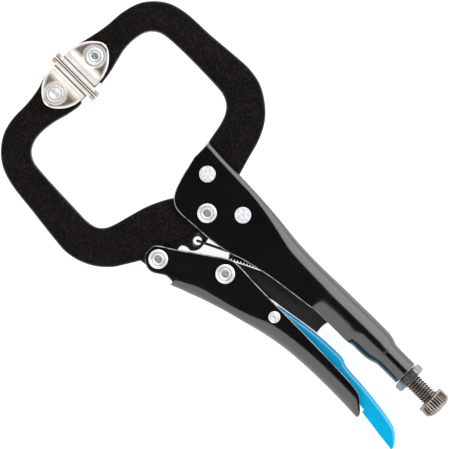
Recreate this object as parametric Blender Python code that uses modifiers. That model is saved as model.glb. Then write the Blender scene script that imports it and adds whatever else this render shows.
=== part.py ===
"""Locking pliers with C-shaped jaws and swivel pads, closed and locked, lying on one side.

X runs along the tool from the jaws to the knob, Y across it towards the fixed jaw, and Z up. The main
pivot stands on the origin, and the head under it rests on the plane Z = 0. Every length below is in
millimetres, and every outline is drawn in the tool's middle plane.
"""

import math

import bmesh
import bpy
from mathutils import Matrix, Vector

MM = 0.001
CUT = 12  # half the length of a hole's cutter

# Thicknesses and clearances. Widths are measured from the middle plane, so they are half widths. What
# folds round a jaw or the screw takes its width from it.
GAP = 0.3
JAW_HALF = 3.0
HANDLE_SHEET = 1.9
HANDLE_HALF = JAW_HALF + GAP + HANDLE_SHEET
LOWER_SHEET = 1.5
LOWER_HALF = JAW_HALF + 2 * GAP + LOWER_SHEET
LINK_HALF = 2.4
LEVER_SHEET = 1.1
LEVER_HALF = LOWER_HALF - LOWER_SHEET - 0.4
PAD_SHEET = 1.4
PAD_DISH = 1.3
PAD_HALF = JAW_HALF + 0.4 + PAD_SHEET + PAD_DISH
HEAD_TOP = HANDLE_HALF + 1.0
MIDDLE = max(HEAD_TOP, PAD_HALF)

# Pivots, in the middle plane.
MAIN_PIVOT = (0.0, 0.0)
JAW_FRONT = (-9.3, 9.45)
JAW_REAR = (9.05, 8.1)
HANDLE_PIVOT = (-0.7, -22.7)
LINK_PIVOT = (18.9, -10.2)
LEVER_PIVOT = (41.0, -8.75)
UPPER_PAD_PIVOT = (-64.5, 10.7)
LOWER_PAD_PIVOT = (-65.05, -7.7)
LINK_END = (56.8, 8.7)
SPRING_HOLE = (4.3, -8.9)
SPRING_TAB = (43.6, 10.3)

MAIN_SHAFT = 2.4
MAIN_HEAD = MAIN_SHAFT + 0.9
JAW_RIVET = 2.8
LEVER_SHAFT = 1.4
LEVER_HEAD = LEVER_SHAFT + 0.6
PAD_SHAFT = 1.5
PAD_HEAD = PAD_SHAFT + 1.45

# The adjusting screw's line, the tube and collar round it, and where its pieces start and end along X.
SCREW_Y = 9.05
SCREW_RADIUS = 3.0
COLLAR_WALL = 1.35
COLLAR_RADIUS = SCREW_RADIUS + 0.4 + COLLAR_WALL
TUBE_RADIUS = SCREW_RADIUS + 1.25 + HANDLE_SHEET
SCREW_START = 65.2
COLLAR_END = 86.2
NUT_START = COLLAR_END + 0.4
NUT_END = NUT_START + 3.0
NUT_CORNER = SCREW_RADIUS + 2.55
KNOB_START = NUT_END + 8.4
KNOB_END = KNOB_START + 5.3
KNOB_RADIUS = SCREW_RADIUS + 2.2

# The pads' grip plane and their round plates.
PAD_PLANE = 1.15
PAD_CENTRE = -64.4
PAD_RADIUS = 10.0
PAD_PLATE = 1.7
# An ear's outline: share of its height over the plate, and half its width there.
PAD_EAR = [(0.02, 7.3), (0.3, 7.3), (0.5, 6.65), (0.65, 5.8), (0.8, 4.3), (0.93, 2.4), (1.0, 0)]

SPRING_WIRE = 0.45
SPRING_RADIUS = 2.05
SPRING_TURNS = 12


# ---------------------------------------------------------------- scene and materials


def empty_scene():
    for item in list(bpy.data.objects):
        bpy.data.objects.remove(item, do_unlink=True)


def new_collection(name):
    found = bpy.data.collections.new(name)
    bpy.context.scene.collection.children.link(found)
    return found


empty_scene()
PLIERS = new_collection("locking_pliers")
CUTTERS = new_collection("cutters")


def material(name, colour, roughness, metallic):
    made = bpy.data.materials.new(name)
    made.use_nodes = True
    shader = made.node_tree.nodes["Principled BSDF"]
    shader.inputs["Base Color"].default_value = (*colour, 1.0)
    shader.inputs["Roughness"].default_value = roughness
    shader.inputs["Metallic"].default_value = metallic
    return made


def finish(piece, colour, roughness, metallic):
    """Give a piece its own material and smooth shading with sharp corners."""
    piece.data.materials.clear()
    piece.data.materials.append(material(piece.name, colour, roughness, metallic))
    piece.data.shade_smooth()
    piece.data.set_sharp_from_angle(angle=math.radians(35))
    return piece


def blackened(piece):
    return finish(piece, (0.035, 0.032, 0.03), 0.55, 0.6)


def pressed_black(piece):
    return finish(piece, (0.02, 0.02, 0.022), 0.3, 0.5)


def plated(piece):
    return finish(piece, (0.6, 0.57, 0.52), 0.3, 1.0)


# ---------------------------------------------------------------- outlines


def through(points, steps=3):
    """A smooth run through the points: a centripetal Catmull-Rom curve."""
    if len(points) == 2:
        return list(points)
    knots = [Vector(p) for p in points]
    knots = [2 * knots[0] - knots[1], *knots, 2 * knots[-1] - knots[-2]]
    found = []
    for a, b, c, d in zip(knots, knots[1:], knots[2:], knots[3:]):
        t1 = (b - a).length ** 0.5
        t2 = t1 + (c - b).length ** 0.5
        t3 = t2 + (d - c).length ** 0.5
        for k in range(steps):
            t = t1 + (t2 - t1) * k / steps
            ab = a.lerp(b, t / t1)
            bc = b.lerp(c, (t - t1) / (t2 - t1))
            cd = c.lerp(d, (t - t2) / (t3 - t2))
            found.append(ab.lerp(bc, t / t2).lerp(bc.lerp(cd, (t - t1) / (t3 - t1)), (t - t1) / (t2 - t1)))
    return [(p.x, p.y) for p in found] + [tuple(points[-1])]


def arc(centre, radius, start, end, count):
    """Points on a circle from one angle to another, in degrees."""
    angles = [math.radians(start + (end - start) * k / count) for k in range(count + 1)]
    return [(centre[0] + radius * math.cos(a), centre[1] + radius * math.sin(a)) for a in angles]


def joined(*runs):
    """One closed outline from runs that follow each other."""
    found = []
    for run in runs:
        for point in run:
            if not found or math.dist(point, found[-1]) > 0.05:
                found.append(point)
    if math.dist(found[0], found[-1]) < 0.05:
        found.pop()
    return found


# ---------------------------------------------------------------- solids


def place(name, mesh, collection=PLIERS):
    piece = bpy.data.objects.new(name, mesh)
    collection.objects.link(piece)
    if collection is CUTTERS:
        piece.hide_render = True
        piece.display_type = "WIRE"
    return piece


def mesh_of(work, name):
    mesh = bpy.data.meshes.new(name)
    bmesh.ops.recalc_face_normals(work, faces=work.faces)
    work.to_mesh(mesh)
    work.free()
    return mesh


def slab(name, outline, low, high, collection=PLIERS):
    """A flat outline given thickness, from low to high about the middle plane."""
    curve = bpy.data.curves.new(name, "CURVE")
    curve.dimensions = "2D"
    curve.fill_mode = "BOTH"
    curve.extrude = (high - low) / 2 * MM
    spline = curve.splines.new("POLY")
    spline.points.add(len(outline) - 1)
    for point, (x, y) in zip(spline.points, outline):
        point.co = (x * MM, y * MM, 0, 1)
    spline.use_cyclic_u = True
    return as_mesh(name, curve, Matrix.Translation((0, 0, (MIDDLE + (low + high) / 2) * MM)), collection)


def as_mesh(name, curve, matrix, collection):
    """Turn a curve into a welded mesh object, and remove the curve."""
    shape = bpy.data.objects.new(name + "_curve", curve)
    bpy.context.scene.collection.objects.link(shape)
    bpy.context.view_layer.update()
    mesh = bpy.data.meshes.new_from_object(shape.evaluated_get(bpy.context.evaluated_depsgraph_get()))
    bpy.data.objects.remove(shape)
    work = bmesh.new()
    work.from_mesh(mesh)
    bmesh.ops.remove_doubles(work, verts=work.verts, dist=0.00001)
    bmesh.ops.transform(work, matrix=matrix, verts=work.verts)
    return place(name, mesh_of(work, name), collection)


def rod(name, centre, radius, low, high, sides=24, collection=CUTTERS):
    """A cylinder along Z."""
    work = bmesh.new()
    bmesh.ops.create_cone(
        work, cap_ends=True, segments=sides, radius1=radius * MM, radius2=radius * MM, depth=(high - low) * MM
    )
    middle = (centre[0] * MM, centre[1] * MM, (MIDDLE + (low + high) / 2) * MM)
    bmesh.ops.translate(work, verts=work.verts, vec=middle)
    return place(name, mesh_of(work, name), collection)


def block(name, low, high, collection=CUTTERS):
    """A box between two corners, with Z measured from the middle plane."""
    size = [(b - a) * MM for a, b in zip(low, high)]
    middle = [(a + b) / 2 * MM for a, b in zip(low, high)]
    work = bmesh.new()
    bmesh.ops.create_cube(work, size=1.0)
    bmesh.ops.scale(work, vec=size, verts=work.verts)
    bmesh.ops.translate(work, verts=work.verts, vec=(middle[0], middle[1], middle[2] + MIDDLE * MM))
    return place(name, mesh_of(work, name), collection)


def turned(name, profile, steps=28):
    """A turned piece on the screw's line, from (radius, x) points, last x first."""
    mesh = bpy.data.meshes.new(name)
    points = [(radius * MM, 0, x * MM) for radius, x in profile]
    mesh.from_pydata(points, [(k, k + 1) for k in range(len(points) - 1)], [])
    piece = place(name, mesh)
    turn = piece.modifiers.new("turn", "SCREW")
    turn.axis = "Z"
    turn.steps = turn.render_steps = steps
    turn.use_merge_vertices = True
    turn.merge_threshold = 0.00001
    piece.rotation_euler = (0, math.radians(90), 0)
    piece.location = (0, SCREW_Y * MM, MIDDLE * MM)
    return piece


def change(piece, other, operation):
    step = piece.modifiers.new(other.name, "BOOLEAN")
    step.operation = operation
    step.object = other
    step.solver = "EXACT"


def cut(piece, *others):
    for other in others:
        change(piece, other, "DIFFERENCE")


def sheet(name, stations, thickness, walls=1, thin_from=None, thin=1.0):
    """Pressed sheet: folded sections at the stations along X, joined in order, with its thickness inside.

    Past thin_from along X the thickness is multiplied by thin.
    """
    work = bmesh.new()
    rows = []
    for station in stations:
        half = folded(walls, *station[1:])
        ring = [(-z, y) for z, y in half[::-1]] + half[1:]
        if half[-1][1] > half[0][1]:
            ring.reverse()
        rows.append([work.verts.new((station[0] * MM, y * MM, (MIDDLE + z) * MM)) for z, y in ring])
    for near, far in zip(rows, rows[1:]):
        for k in range(len(near) - 1):
            work.faces.new((near[k], near[k + 1], far[k + 1], far[k]))
    mesh = bpy.data.meshes.new(name)
    work.to_mesh(mesh)
    work.free()
    piece = place(name, mesh)
    solid = piece.modifiers.new("thickness", "SOLIDIFY")
    solid.thickness = thickness * MM
    solid.offset = -1
    solid.use_even_offset = True
    if thin_from:
        group = piece.vertex_groups.new(name="sheet")
        for vertex in mesh.vertices:
            group.add([vertex.index], thin if vertex.co.x > thin_from * MM else 1.0, "REPLACE")
        solid.vertex_group = group.name
    return piece


def folded(walls, spine, edge, half, bend, curl=0.0, seam=0.2, bends=5):
    """Half of a channel's section as (z, y), from the middle of its spine round the bend to its edge.

    curl draws the walls in towards a round tube that closes to a seam.
    """
    way = 1 if edge > spine else -1
    bend = min(bend, half - 0.25, abs(edge - spine) - 0.2)
    found = [(0.0, spine)]
    for k in range(bends + 1):
        turn = math.pi / 2 * k / bends
        found.append((half - bend + bend * math.sin(turn), spine + way * bend * (1 - math.cos(turn))))
    start = spine + way * bend
    last = math.acos(seam / half)
    for k in range(1, walls + 1):
        flat = (half, start + (edge - start) * k / walls)
        turn = last * k / walls
        round_ = (half * math.cos(turn), start + way * half * math.sin(turn))
        found.append(tuple(a + (b - a) * curl for a, b in zip(flat, round_)))
    return found


# ---------------------------------------------------------------- the fixed handle and its jaw


def fixed_handle():
    front = [
        (-16.5, 17.7, 10.5), (-15.2, 17.65, 4.8), (-14, 17.6, 0.5), (-12.6, 17.5, -2.9), (-11, 17.4, -4.9),
        (-9, 17.3, -6.1), (-6, 17.2, -6.5), (0, 17.0, -6.1), (6, 16.8, -5.7),
    ]
    stations = [(x, spine, edge, HANDLE_HALF, HANDLE_SHEET + 0.2) for x, spine, edge in front]
    wider = TUBE_RADIUS - HANDLE_HALF
    tube = SCREW_Y + TUBE_RADIUS
    under = SCREW_Y - TUBE_RADIUS - 0.1
    bend = TUBE_RADIUS - 0.25
    collar = (SCREW_Y + COLLAR_RADIUS, SCREW_Y - COLLAR_RADIUS, COLLAR_RADIUS, COLLAR_RADIUS - 0.25, 1.0)
    stations += [
        (13.8, 16.4, -4.5, HANDLE_HALF, 2.8),
        (20, 15.9, -2.5, HANDLE_HALF, 3.7),
        (29, 15.0, -0.4, HANDLE_HALF + 0.1 * wider, 5.0),
        (38, 14.7, 1.0, HANDLE_HALF + 0.3 * wider, 5.2),
        (46.5, 14.85, 2.1, HANDLE_HALF + 0.75 * wider, 5.6),
        (49, tube - 0.25, 2.4, TUBE_RADIUS, bend, 0.2),
        (60, tube - 0.1, 2.5, TUBE_RADIUS, bend, 0.3),
        (64.5, tube, 2.5, TUBE_RADIUS, bend, 0.3),
        (67.3, tube, under, TUBE_RADIUS, bend, 1.0, 0.25),
        (70.2, tube, under, TUBE_RADIUS, bend, 1.0, 0.75),
        (73, tube - 0.1, under, TUBE_RADIUS - 0.15, bend - 0.15, 1.0, 0.25),
        (75.3, tube - 0.7, under + 0.6, TUBE_RADIUS - 0.75, bend - 0.75, 1.0),
        (77.3, collar[0] + 0.05, *collar[1:]),
        (COLLAR_END, *collar),
    ]
    piece = sheet("fixed_handle", stations, HANDLE_SHEET, 5, 77, COLLAR_WALL / HANDLE_SHEET)
    tab = block("spring_tab", (SPRING_TAB[0] - 0.6, 8.3, -1.4), (SPRING_TAB[0] + 0.6, 13.6, 1.4))
    change(piece, tab, "UNION")
    slot = JAW_HALF + GAP + 0.1  # a little past the walls, so that no two faces lie together
    cut(
        piece,
        block("jaw_slot", (-20, 11, -slot), (0.2, 20, slot)),
        rod("front_hole", JAW_FRONT, JAW_RIVET + GAP, -CUT, CUT),
        rod("rear_hole", JAW_REAR, JAW_RIVET + GAP, -CUT, CUT),
        rod("main_hole", MAIN_PIVOT, MAIN_SHAFT + GAP, -CUT, CUT),
    )
    return pressed_black(piece)


def screw_bore(name, radius, low, high):
    """A cylinder on the screw's line."""
    work = bmesh.new()
    bmesh.ops.create_cone(
        work, cap_ends=True, segments=24, radius1=radius * MM, radius2=radius * MM, depth=(high - low) * MM
    )
    bmesh.ops.rotate(work, verts=work.verts, matrix=Matrix.Rotation(math.pi / 2, 3, "Y"))
    bmesh.ops.translate(work, verts=work.verts, vec=((low + high) / 2 * MM, SCREW_Y * MM, MIDDLE * MM))
    return place(name, mesh_of(work, name), CUTTERS)


def fixed_jaw():
    outer = through([
        (-72.2, 5.6), (-71.5, 10), (-70.3, 15), (-69.2, 21), (-68.6, 28), (-66.3, 35), (-60.5, 40.8),
        (-54, 43), (-42, 43.7), (-30, 44.7), (-24.5, 44.9), (-18.5, 43.8), (-13, 40.7), (-8.5, 36.4),
        (-5.3, 30.5), (-3, 22.5), (-1.4, 17), (-0.8, 14.6),
    ])
    tail = through([(-0.8, 14.5), (10.5, 14.1), (13.2, 12.2), (13.7, 8.4), (12.3, 4.9), (9, 3.6), (5.3, 3.06)])
    hollow = arc(MAIN_PIVOT, 6.1, 30, 150, 8)
    front = through([(-5.3, 3.06), (-9, 4.6), (-13.2, 5.4), (-15.5, 9), (-16.4, 13), (-16.7, 17)])
    inner = through([
        (-16.7, 17), (-17.3, 20), (-18.3, 25), (-19.7, 28.5), (-21.7, 30.8), (-24.5, 32.2), (-28, 32.7),
        (-52, 32.6), (-55.5, 31.5), (-58, 29), (-59.2, 25), (-59.3, 20), (-58.2, 15), (-57, 10), (-56.4, 5.6),
    ])
    piece = slab("fixed_jaw", joined(outer, tail, hollow, front, inner), -JAW_HALF, JAW_HALF)
    cut(
        piece,
        rod("jaw_front_hole", JAW_FRONT, JAW_RIVET + GAP, -CUT, CUT),
        rod("jaw_rear_hole", JAW_REAR, JAW_RIVET + GAP, -CUT, CUT),
        rod("upper_pad_hole", UPPER_PAD_PIVOT, PAD_SHAFT + GAP, -CUT, CUT),
    )
    return blackened(piece)


# ---------------------------------------------------------------- the lower jaw


def lower_jaw():
    outer = through([
        (-72.3, -3.4), (-71.8, -6.5), (-70.4, -11), (-69.6, -17), (-69.4, -24), (-68, -29.5), (-64.6, -34.5),
        (-60, -38), (-54, -40), (-42, -41.5), (-30, -42.9), (-25, -43.3), (-19.5, -42.2), (-14.5, -39.8),
        (-10, -35.9), (-7.2, -31.7), (-4.6, -27.4),
    ])
    knuckle = arc(HANDLE_PIVOT, 4.3, 260, 375, 8)
    tail = through([(3.2, -19.5), (1.9, -16.5), (1.6, -14), (3.3, -13), (5, -12.9), (6.6, -11), (6.7, -8), (5.5, 0)])
    boss = arc(MAIN_PIVOT, 5.5, 0, 150, 10)
    neck = through([(-5.2, 2.3), (-8.5, -0.6), (-11.8, -4.4), (-14.9, -10), (-16.5, -14), (-18.2, -20),
                    (-19.7, -25.3), (-21, -28), (-23.3, -29.9), (-27, -30.7), (-32, -30.6), (-50, -29.8),
                    (-54, -29.2), (-57, -27.3), (-58.7, -24.3), (-59.2, -20), (-58.5, -14.5), (-57.2, -9.8),
                    (-56.4, -5), (-56.6, -3.4)])
    piece = slab("lower_jaw", joined(outer, knuckle, tail, boss, neck), -JAW_HALF, JAW_HALF)
    recess = (SPRING_HOLE[0] + 2.2, SPRING_HOLE[1] + 1.1)
    cut(
        piece,
        rod("pivot_hole", MAIN_PIVOT, MAIN_SHAFT + GAP, -CUT, CUT),
        rod("handle_hole", HANDLE_PIVOT, MAIN_SHAFT + GAP, -CUT, CUT),
        rod("lower_pad_hole", LOWER_PAD_PIVOT, PAD_SHAFT + GAP, -CUT, CUT),
        rod("hook_hole", SPRING_HOLE, 1.5, -CUT, CUT, 16),
        rod("hook_recess_top", recess, 4.4, 1.25, CUT),
        rod("hook_recess_bottom", recess, 4.4, -CUT, -1.25),
    )
    return blackened(piece)


# ---------------------------------------------------------------- swivel pads


def pad(name, way, pivot, ear_top):
    """A round plate with an ear folded up on each side of the jaw; way is 1 above the grip plane, -1 below."""
    face = PAD_PLANE + way * GAP / 2
    back = face + way * PAD_PLATE
    waist = pivot[1] - way * 4.4
    dish = pivot[1] - way * 2.7
    top = ear_top + way
    out, deep = PAD_HALF, PAD_HALF - PAD_DISH
    half = [
        (0, face), (out - 0.6, face), (out, face + way * 0.6), (out, waist), (deep, dish), (deep, top),
        (deep - PAD_SHEET, top), (deep - PAD_SHEET, dish), (out - PAD_SHEET, waist),
        (out - PAD_SHEET, back), (0, back),
    ]
    across = half[:-1] + [(-z, y) for z, y in half[:0:-1]]
    piece = slab(name, across, -PAD_RADIUS - 1, PAD_RADIUS + 1)
    about_y = Matrix.Rotation(math.pi / 2, 4, "Y")
    turn_on_middle(piece, about_y, (PAD_CENTRE, 0))
    left = through([(-half_width, share) for share, half_width in PAD_EAR])
    right = [(-x, share) for x, share in left[::-1]]
    ear = [(PAD_CENTRE - 0.3 + x, back + (ear_top - back) * share) for x, share in left + right[1:]]
    plate = [(PAD_CENTRE + 12, back + way * 0.2), (PAD_CENTRE + 12, face - way)]
    mirror = [(2 * PAD_CENTRE - x, y) for x, y in plate[::-1]]
    change(piece, slab(name + "_ears", ear + plate + mirror, -9, 9, CUTTERS), "INTERSECT")
    disc = rod(name + "_disc", (0, 0), PAD_RADIUS, -20, 20, 40)
    turn_on_middle(disc, Matrix.Rotation(math.pi / 2, 4, "X"), (PAD_CENTRE, PAD_PLANE))
    change(piece, disc, "INTERSECT")
    cut(piece, rod(name + "_hole", pivot, PAD_SHAFT + GAP, -CUT, CUT))
    return plated(piece)


def turn_on_middle(piece, rotation, centre):
    """Turn a mesh made about the middle plane's origin, then move it to a point in that plane."""
    lower = Matrix.Translation((0, 0, -MIDDLE * MM))
    move = Matrix.Translation((centre[0] * MM, centre[1] * MM, MIDDLE * MM))
    piece.data.transform(move @ rotation @ lower)


# ---------------------------------------------------------------- lower handle, link and lever


def lower_handle():
    front = [
        (-5.1, -20.7, -24.6), (-4, -19.5, -26.0), (-2.4, -18.4, -27.0), (-0.7, -17.4, -27.5),
        (1, -16.3, -27.3), (3, -14.9, -26.1), (5, -13.5, -24.9), (7, -12.1, -25.0),
    ]
    stations = [(x, spine, edge, LOWER_HALF, LOWER_SHEET + 0.4) for x, edge, spine in front]
    stations += [
        (8.6, -25.8, -11.0, LOWER_HALF, 2.6), (12, -24.6, -8.6, LOWER_HALF, 3.3),
        (15.5, -23.4, -6.2, LOWER_HALF, 3.9), (18, -22.4, -5.1, LOWER_HALF, 3.8),
        (22, -21.0, -4.95, LOWER_HALF, 3.4), (28, -19.1, -5.25, LOWER_HALF, 3.0),
        (35, -17.3, -5.4, LOWER_HALF, 3.6), (42, -15.5, -5.45, LOWER_HALF, 4.8),
        (50, -14.0, -5.5, LOWER_HALF, 4.8), (60, -13.1, -5.7, LOWER_HALF, 4.8),
        (70, -12.85, -6.0, LOWER_HALF, 4.8), (78, -12.95, -6.5, LOWER_HALF, 4.8),
        (84.9, -13.1, -7.0, LOWER_HALF, 4.8),
    ]
    piece = sheet("lower_handle", stations, LOWER_SHEET)
    slot = LOWER_HALF - LOWER_SHEET + 0.1
    end = [(76, -6.35), (78, -6.65), (80, -7.3), (82, -8.9), (84, -10.7), (85, -12), (88, -12), (88, 0), (76, 0)]
    cut(
        piece,
        rod("knuckle_hole", HANDLE_PIVOT, MAIN_SHAFT + GAP, -CUT, CUT),
        rod("link_hole", LINK_PIVOT, MAIN_SHAFT + GAP, -CUT, CUT),
        rod("lever_hole", LEVER_PIVOT, LEVER_SHAFT + GAP, -CUT, CUT),
        block("knuckle_slot", (-8, -32, -slot), (8.3, -4, slot)),
        slab("end_slope", end, -7, 7, CUTTERS),
    )
    return pressed_black(piece)


def toggle_link():
    eye = arc(LINK_PIVOT, 4.5, 110, 290, 12)
    under = through([(20.6, -14.4), (25, -12), (29, -8.5), (32, -6.1), (36, -4.9), (41, -4.1), (45, -3.4),
                     (50, -2.6), (55, -1.9)])
    heel = through([(55, -1.9), (54.8, 0.4), (55.2, 2.6), (57.3, 4.6), (59.2, 6.6)])
    end = arc(LINK_END, 3.0, -20, 110, 7)
    top = through([(55.2, 11.3), (50, 9.6), (42, 6.3), (34, 2.6), (26, -1.9), (20, -5.4), (17.4, -6)])
    piece = slab("toggle_link", joined(eye, under, heel, end, top), -LINK_HALF, LINK_HALF)
    cut(piece, rod("link_eye", LINK_PIVOT, MAIN_SHAFT + GAP, -CUT, CUT))
    return blackened(piece)


def release_lever():
    stations = [
        (36.6, -7.2, -9.8), (37.6, -6.1, -10.8), (39.5, -5.1, -11.3), (43, -4.45, -11.2), (50, -3.3, -9.9),
        (57, -2.45, -8.6), (64, -2.15, -7.7), (67.5, -2.25, -7.3), (69.6, -3.15, -7.1), (72, -3.5, -6.9),
        (80, -4.0, -6.6), (84.9, -4.5, -6.4), (85.6, -4.6, -10.6), (90, -5.2, -11.2), (95, -6.2, -11.9),
        (97.3, -7.2, -12.15), (99.2, -8.9, -12.35), (100.4, -10.3, -12.5), (100.9, -11.2, -12.8),
    ]
    rows = [(x, spine, edge, LEVER_HALF, 1.5) for x, spine, edge in stations]
    piece = sheet("release_lever", rows, LEVER_SHEET)
    cut(piece, rod("lever_eye", LEVER_PIVOT, LEVER_SHAFT + GAP, -CUT, CUT))
    return finish(piece, (0.0, 0.33, 0.72), 0.25, 0.3)


# ---------------------------------------------------------------- screw, nut and knob


def adjusting_screw():
    end = KNOB_START + 2.5
    profile = [(0, end), (SCREW_RADIUS - 0.4, end), (SCREW_RADIUS, end - 0.4), (SCREW_RADIUS, SCREW_START + 1),
               (SCREW_RADIUS - 1, SCREW_START), (0, SCREW_START)]
    return finish(turned("adjusting_screw", profile), (0.36, 0.33, 0.29), 0.35, 1.0)


def adjusting_knob():
    bore, floor = SCREW_RADIUS + GAP, KNOB_START + 2.5 + GAP
    profile = [(0, KNOB_END), (2.6, KNOB_END - 0.1), (4.3, KNOB_END - 0.7), (KNOB_RADIUS, KNOB_END - 1.4),
               (KNOB_RADIUS, KNOB_START + 0.4), (KNOB_RADIUS - 0.4, KNOB_START), (bore, KNOB_START),
               (bore, floor), (0, floor)]
    return finish(turned("adjusting_knob", profile), (0.42, 0.39, 0.35), 0.35, 1.0)


def lock_nut():
    work = bmesh.new()
    depth = (NUT_END - NUT_START) * MM
    radius = NUT_CORNER * MM
    bmesh.ops.create_cone(work, cap_ends=True, segments=6, radius1=radius, radius2=radius, depth=depth)
    bmesh.ops.rotate(work, verts=work.verts, matrix=Matrix.Rotation(math.pi / 2, 3, "Y"))
    middle = ((NUT_START + NUT_END) / 2 * MM, SCREW_Y * MM, MIDDLE * MM)
    bmesh.ops.translate(work, verts=work.verts, vec=middle)
    piece = place("lock_nut", mesh_of(work, "lock_nut"))
    cut(piece, screw_bore("nut_bore", SCREW_RADIUS + GAP, NUT_START - 1, NUT_END + 1))
    return finish(piece, (0.5, 0.48, 0.45), 0.3, 1.0)


# ---------------------------------------------------------------- rivets and pins


def rivet(name, centre, shaft, head, seat, top=HEAD_TOP):
    """A shaft with a flat head on each side; seat is the surface that the heads lie over."""
    work = bmesh.new()
    rings = [(0, -top), (head, -top), (head, -seat - GAP), (shaft, -seat - GAP), (shaft, seat + GAP),
             (head, seat + GAP), (head, top), (0, top)]
    verts = [work.verts.new((radius * MM, 0, (MIDDLE + z) * MM)) for radius, z in rings]
    edges = [work.edges.new(pair) for pair in zip(verts, verts[1:])]
    bmesh.ops.spin(work, geom=verts + edges, cent=(0, 0, 0), axis=(0, 0, 1), angle=2 * math.pi, steps=24)
    bmesh.ops.remove_doubles(work, verts=work.verts, dist=0.00001)
    bmesh.ops.translate(work, verts=work.verts, vec=(centre[0] * MM, centre[1] * MM, 0))
    return finish(place(name, mesh_of(work, name)), (0.62, 0.62, 0.6), 0.3, 1.0)


def flush_rivet(name, centre):
    end = HANDLE_HALF + GAP
    piece = rod(name, centre, JAW_RIVET, -end, end, 28, PLIERS)
    return finish(piece, (0.62, 0.62, 0.6), 0.35, 1.0)


# ---------------------------------------------------------------- return spring


def return_spring():
    """An extension spring: a hook through the lower jaw's tail, the coil, and a hook round the tab."""
    start = Vector((*SPRING_HOLE, 0))
    along = Vector((*SPRING_TAB, 0)) - start
    length = along.length
    along.normalize()
    across = Vector((-along.y, along.x, 0))
    up = Vector((0, 0, 1))
    coil_start, coil_end = 11.5, length - 5.5
    points = [(6.0, 0, -SPRING_RADIUS), (0.6, 0, -SPRING_RADIUS), (0, 0, -SPRING_RADIUS + 0.6),
              (0, 0, SPRING_RADIUS - 0.6), (0.6, 0, SPRING_RADIUS)]
    per_turn = 8
    for k in range(SPRING_TURNS * per_turn + 1):
        turn = 2 * math.pi * k / per_turn
        u = coil_start + (coil_end - coil_start) * k / (SPRING_TURNS * per_turn)
        points.append((u, SPRING_RADIUS * math.sin(turn), SPRING_RADIUS * math.cos(turn)))
    behind = length + 1.2
    points += [(behind - 0.6, 0, SPRING_RADIUS), (behind, 0, SPRING_RADIUS - 0.6),
               (behind, 0, 0.6 - SPRING_RADIUS), (behind - 0.6, 0, -SPRING_RADIUS), (length - 2, 0, -SPRING_RADIUS)]
    curve = bpy.data.curves.new("return_spring", "CURVE")
    curve.dimensions = "3D"
    curve.bevel_depth = SPRING_WIRE * MM
    curve.bevel_resolution = 1
    curve.use_fill_caps = True
    spline = curve.splines.new("POLY")
    spline.points.add(len(points) - 1)
    for point, (u, v, w) in zip(spline.points, points):
        at = (start + along * u + across * v + up * w) * MM
        point.co = (at.x, at.y, at.z, 1)
    piece = as_mesh("return_spring", curve, Matrix.Translation((0, 0, MIDDLE * MM)), PLIERS)
    return finish(piece, (0.45, 0.43, 0.4), 0.35, 1.0)


# ---------------------------------------------------------------- assembly


def joint(name, x, y, parent=None):
    """An empty on a joint's axis, at the height of the middle plane."""
    found = bpy.data.objects.new(name, None)
    found.empty_display_size = 0.004
    PLIERS.objects.link(found)
    found.location = (x * MM, y * MM, MIDDLE * MM)
    hang(found, parent)
    return found


def hang(item, parent):
    """Parent an object where it is."""
    if parent:
        bpy.context.view_layer.update()
        item.parent = parent
        item.matrix_parent_inverse = parent.matrix_world.inverted()


def assemble():
    frame = joint("frame", *MAIN_PIVOT)
    jaw = joint("jaw_joint", *MAIN_PIVOT, frame)
    handle = joint("handle_joint", *HANDLE_PIVOT, jaw)
    link = joint("link_joint", *LINK_PIVOT, handle)
    lever = joint("lever_joint", *LEVER_PIVOT, handle)
    upper = joint("upper_pad_joint", *UPPER_PAD_PIVOT, frame)
    lower = joint("lower_pad_joint", *LOWER_PAD_PIVOT, jaw)
    nut = joint("nut_slide", NUT_START, SCREW_Y, frame)
    screw = joint("screw_joint", KNOB_START, SCREW_Y, nut)
    held = {
        frame: [
            fixed_handle(),
            fixed_jaw(),
            flush_rivet("jaw_rivet_front", JAW_FRONT),
            flush_rivet("jaw_rivet_rear", JAW_REAR),
            rivet("main_pivot_rivet", MAIN_PIVOT, MAIN_SHAFT, MAIN_HEAD, HANDLE_HALF),
            rivet("upper_pad_pin", UPPER_PAD_PIVOT, PAD_SHAFT, PAD_HEAD, PAD_HALF - PAD_DISH),
            return_spring(),
        ],
        jaw: [
            lower_jaw(),
            rivet("lower_pad_pin", LOWER_PAD_PIVOT, PAD_SHAFT, PAD_HEAD, PAD_HALF - PAD_DISH),
            rivet("handle_pivot_rivet", HANDLE_PIVOT, MAIN_SHAFT, MAIN_HEAD, LOWER_HALF),
        ],
        handle: [
            lower_handle(),
            rivet("link_rivet", LINK_PIVOT, MAIN_SHAFT, MAIN_HEAD, LOWER_HALF),
            rivet("lever_rivet", LEVER_PIVOT, LEVER_SHAFT, LEVER_HEAD, LOWER_HALF, LOWER_HALF + 0.8),
        ],
        link: [toggle_link()],
        lever: [release_lever()],
        upper: [pad("upper_pad", 1, UPPER_PAD_PIVOT, 16.0)],
        lower: [pad("lower_pad", -1, LOWER_PAD_PIVOT, -12.7)],
        nut: [lock_nut()],
        screw: [adjusting_screw(), adjusting_knob()],
    }
    for parent, pieces in held.items():
        for piece in pieces:
            hang(piece, parent)


assemble()
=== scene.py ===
import math

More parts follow.
